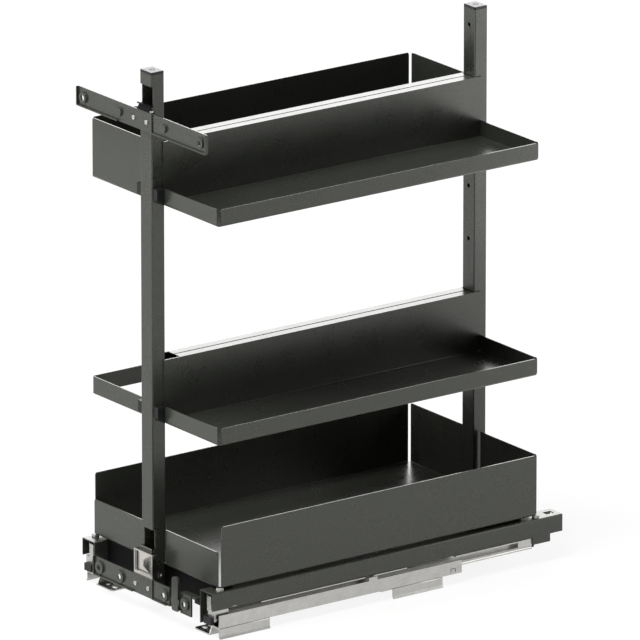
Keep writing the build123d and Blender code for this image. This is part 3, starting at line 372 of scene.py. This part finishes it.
def dress(node, material, edge=None):
    """Give a CAD node its material, and round its sharp edges by a modifier."""
    piece = frame["nodes"][node]
    piece.data.materials.clear()
    piece.data.materials.append(material)
    if edge:
        weld = piece.modifiers.new("weld", "WELD")
        weld.merge_threshold = 0.001 * MM
        bevel = piece.modifiers.new("edge", "BEVEL")
        bevel.width = edge
        bevel.segments = 2
        bevel.limit_method = "ANGLE"
        bevel.angle_limit = math.radians(40)
        bevel.harden_normals = True
    return piece


def lamp(name, kind, power, place, toward, **settings):
    """Add a lamp that points from its place toward a point; the camera never sees it."""
    light = bpy.data.lights.new(name, kind)
    light.energy = power
    for key, value in settings.items():
        setattr(light, key, value)
    made = bpy.data.objects.new(name, light)
    bpy.context.scene.collection.objects.link(made)
    made.location = place
    made.rotation_mode = "QUATERNION"
    made.rotation_quaternion = (Vector(toward) - Vector(place)).to_track_quat("-Z", "Y")
    made.visible_camera = False
    return made


def seen_or_mirrored(tree):
    """1 where the camera looks straight, in a reflection or through glass, and 0 elsewhere."""
    path = add(tree, "ShaderNodeLightPath")
    seen = add(tree, "ShaderNodeMath", {0: path.outputs["Is Camera Ray"],
                                        1: path.outputs["Is Glossy Ray"]}, operation="MAXIMUM")
    return add(tree, "ShaderNodeMath", {0: seen.outputs[0],
                                        1: path.outputs["Is Transmission Ray"]},
               operation="MAXIMUM").outputs[0]


class RACK_OT_stage(bpy.types.Operator):
    """Floor, lamps, sky and camera"""
    bl_idname = "rack.stage"
    bl_label = "Studio"

    def execute(self, context):
        stage = context.scene.rack_stage
        scene = context.scene
        scene.view_settings.view_transform = "Standard"
        bpy.ops.mesh.primitive_plane_add(size=stage.floor_size,
                                         location=(0, 0, -stage.floor_drop))
        floor = context.object
        floor.name = "floor"
        made, tree = new_material("studio_floor")
        matt = add(tree, "ShaderNodeBsdfDiffuse", {"Color": stage.floor_colour})
        white = add(tree, "ShaderNodeEmission", {"Color": (1, 1, 1, 1), "Strength": 1.0})
        path = add(tree, "ShaderNodeLightPath")
        share = between(tree, path.outputs["Is Camera Ray"],
                        stage.floor_mirrored, stage.floor_seen, 0.0, 1.0)
        lift = add(tree, "ShaderNodeMixShader",
                   {"Fac": share, 1: matt.outputs[0], 2: white.outputs[0]})
        finish_with(tree, add(tree, "ShaderNodeMixShader",
                              {"Fac": seen_or_mirrored(tree), 1: matt.outputs[0],
                               2: lift.outputs[0]}))
        floor.data.materials.append(made)

        left, right, near, far = stage.flag
        mesh = bpy.data.meshes.new("flag")
        corners = ((left, near), (right, near), (right, far), (left, far))
        mesh.from_pydata([(x, y, -stage.flag_drop) for x, y in corners], [], [(0, 1, 2, 3)])
        flag = bpy.data.objects.new("flag", mesh)
        scene.collection.objects.link(flag)
        made, tree = new_material("black_flag")
        finish_with(tree, add(tree, "ShaderNodeBsdfDiffuse", {"Color": linear("#101010")}))
        mesh.materials.append(made)
        for ray in ("camera", "diffuse", "transmission", "volume_scatter", "shadow"):
            setattr(flag, "visible_" + ray, False)

        world = bpy.data.worlds.new("studio_sky")
        scene.world = world
        world.use_nodes = True
        tree = world.node_tree
        tree.nodes.clear()
        fill = add(tree, "ShaderNodeBackground", {"Color": (1, 1, 1, 1), "Strength": stage.fill})
        place = add(tree, "ShaderNodeTexCoord")
        height = add(tree, "ShaderNodeSeparateXYZ", {"Vector": place.outputs["Generated"]})
        strength = between(tree, height.outputs["Z"], 1.0, stage.ceiling, 0.25, 0.75)
        white = add(tree, "ShaderNodeBackground", {"Color": (1, 1, 1, 1), "Strength": strength})
        mix = add(tree, "ShaderNodeMixShader",
                  {"Fac": seen_or_mirrored(tree), 1: fill.outputs[0], 2: white.outputs[0]})
        add(tree, "ShaderNodeOutputWorld", {"Surface": mix.outputs[0]})

        middle = (0, 0, 0.3)
        lamp("back_softbox", "SUN", stage.back, (-3.1, 2.3, 1.9), middle,
             angle=math.radians(50))
        lamp("top_softbox", "SUN", stage.top, (0.0, -1.9, 4.0), middle, angle=math.radians(40))
        lamp("key_softbox", "SUN", stage.key, (-2.0, -3.4, 1.2), middle,
             angle=math.radians(45))
        lamp("side_lamp", "AREA", stage.side, (0.75, 0.95, 0.35), (0, 0.2, 0.3),
             shape="RECTANGLE", size=0.4, size_y=0.8)

        lens = bpy.data.cameras.new("camera")
        lens.lens = stage.lens
        lens.clip_start = 1.0
        lens.clip_end = 100.0
        camera = bpy.data.objects.new("camera", lens)
        scene.collection.objects.link(camera)
        a, e = stage.azimuth, stage.elevation
        back = Vector((math.sin(a) * math.cos(e), -math.cos(a) * math.cos(e), math.sin(e)))
        camera.location = Vector(stage.aim) + back * stage.distance
        camera.rotation_mode = "QUATERNION"
        camera.rotation_quaternion = (-back).to_track_quat("-Z", "Y")
        scene.camera = camera
        return {"FINISHED"}


class RACK_OT_finishes(bpy.types.Operator):
    """Finishes of every CAD piece, by its slot in the record"""
    bl_idname = "rack.finishes"
    bl_label = "Finishes"

    def execute(self, context):
        edge = context.scene.rack_finish.edge
        slots = {row["node"]: row["material_slot"] for row in frame["record"]["subparts"]}
        materials = {slot: MAKERS[slot]() for slot in sorted(set(slots.values()))}
        for node, slot in slots.items():
            dress(node, materials[slot], None if slot == "bearing_steel" else edge)
        return {"FINISHED"}


class RACK_PT_panel(bpy.types.Panel):
    """Lists the steps that dress the rack"""
    bl_idname = "RACK_PT_panel"
    bl_label = "Rack"
    bl_space_type = "VIEW_3D"
    bl_region_type = "UI"
    bl_category = "Rack"

    def draw(self, context):
        for operator in OPERATORS:
            self.layout.operator(operator.bl_idname)


OPERATORS = (RACK_OT_finishes, RACK_OT_stage)
CLASSES = (RackStage, RackFinish) + OPERATORS + (RACK_PT_panel,)


def register():
    """Register every class and hang the settings on the scene."""
    for kind in CLASSES:
        bpy.utils.register_class(kind)
    bpy.types.Scene.rack_stage = bpy.props.PointerProperty(type=RackStage)
    bpy.types.Scene.rack_finish = bpy.props.PointerProperty(type=RackFinish)


def unregister():
    """Undo register."""
    del bpy.types.Scene.rack_finish
    del bpy.types.Scene.rack_stage
    for kind in reversed(CLASSES):
        bpy.utils.unregister_class(kind)


def main():
    """Dress the rack."""
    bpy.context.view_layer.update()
    register()
    for operator in OPERATORS:
        group, name = operator.bl_idname.split(".")
        getattr(getattr(bpy.ops, group), name)()


if __name__ == "__main__":
    main()
